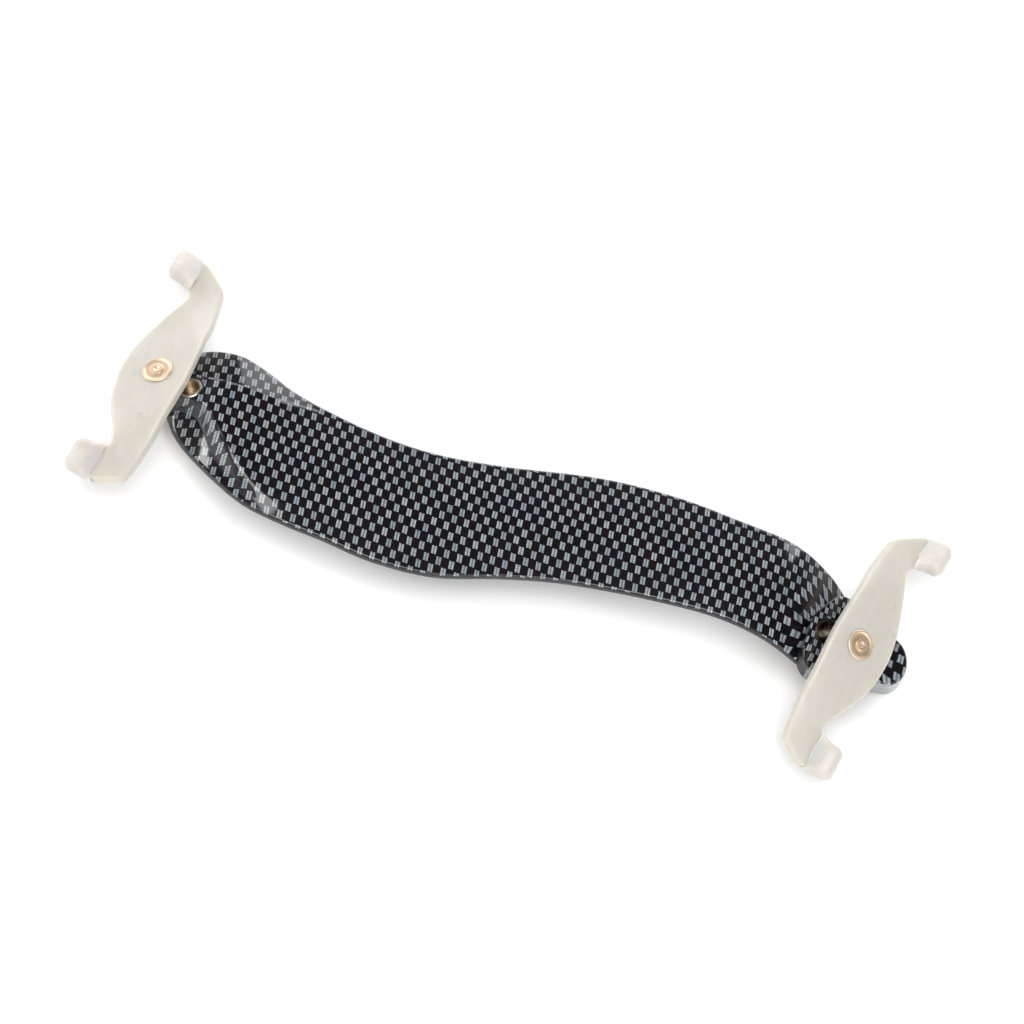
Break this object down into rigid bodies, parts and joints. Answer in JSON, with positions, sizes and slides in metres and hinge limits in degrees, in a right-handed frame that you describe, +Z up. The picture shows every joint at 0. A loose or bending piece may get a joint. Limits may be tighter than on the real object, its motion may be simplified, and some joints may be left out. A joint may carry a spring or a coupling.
{
  "type": "violin shoulder rest",
  "caption": "S-shaped shoulder rest with a foam pad underneath and screw-adjustable forked feet that grip the edge of a violin.",
  "frame": {"origin": "centre of the footprint, on the surface that the rest stands on", "axes": "+X along the base from the ridged end to the padded end, +Y across it towards its rear rim, +Z up towards the violin"},
  "size_m": [0.2224, 0.0746, 0.0243],
  "materials": {
    "shell_print": "glossy lacquer over a printed black and silver-grey chequer",
    "adhesive": "adhesive film",
    "foam": "fine closed-cell foam, matt",
    "brass": "turned and threaded",
    "nickel": "nickel plated",
    "rivet_brass": "dished washer, softly worn",
    "nylon": "milky translucent nylon, satin",
    "sleeve": "clear milky soft vinyl"
  },
  "bodies": {
    "base": {"base_shell": "shell_print", "pad_adhesive": "adhesive", "foam_pad": "foam", "left_outer_insert": "brass", "left_inner_insert": "brass", "right_outer_insert": "brass", "right_inner_insert": "brass"},
    "left_nut": {"left_lock_nut": "nickel"},
    "right_nut": {"right_lock_nut": "nickel"},
    "left_lift": {"left_thrust_washer": "nickel"},
    "right_lift": {"right_thrust_washer": "nickel"},
    "left_foot": {"left_post": "brass", "left_rivet_washer": "rivet_brass", "left_fork": "nylon", "left_front_sleeve": "sleeve", "left_rear_sleeve": "sleeve"},
    "right_foot": {"right_post": "brass", "right_rivet_washer": "rivet_brass", "right_fork": "nylon", "right_front_sleeve": "sleeve", "right_rear_sleeve": "sleeve"}
  },
  "joints": [
    {"name": "left_fork_lift", "type": "slide", "parent": "base", "child": "left_lift", "axis": [-0.4285, 0.1288, 0.8943], "range_m": [0, 0.0096]},
    {"name": "left_fork_turn", "type": "hinge", "parent": "left_lift", "child": "left_foot", "pos_m": [-0.09641, -0.0004, 0.01384], "axis": [-0.4285, 0.1288, 0.8943], "range_deg": [0, 4320]},
    {"name": "left_nut_turn", "type": "hinge", "parent": "base", "child": "left_nut", "pos_m": [-0.09641, -0.0004, 0.01384], "axis": [-0.4285, 0.1288, 0.8943], "range_deg": [0, 90]},
    {"name": "right_fork_lift", "type": "slide", "parent": "base", "child": "right_lift", "axis": [0.4285, -0.1288, 0.8943], "range_m": [0, 0.0096]},
    {"name": "right_fork_turn", "type": "hinge", "parent": "right_lift", "child": "right_foot", "pos_m": [0.09327, 0.00084, 0.01384], "axis": [0.4285, -0.1288, 0.8943], "range_deg": [0, 4320]},
    {"name": "right_nut_turn", "type": "hinge", "parent": "base", "child": "right_nut", "pos_m": [0.09327, 0.00084, 0.01384], "axis": [0.4285, -0.1288, 0.8943], "range_deg": [0, 90]}
  ],
  "couplings": [
    {"joint": "left_fork_turn", "follows": "left_fork_lift", "rad_per_m": 7853.9},
    {"joint": "right_fork_turn", "follows": "right_fork_lift", "rad_per_m": 7853.9}
  ]
}
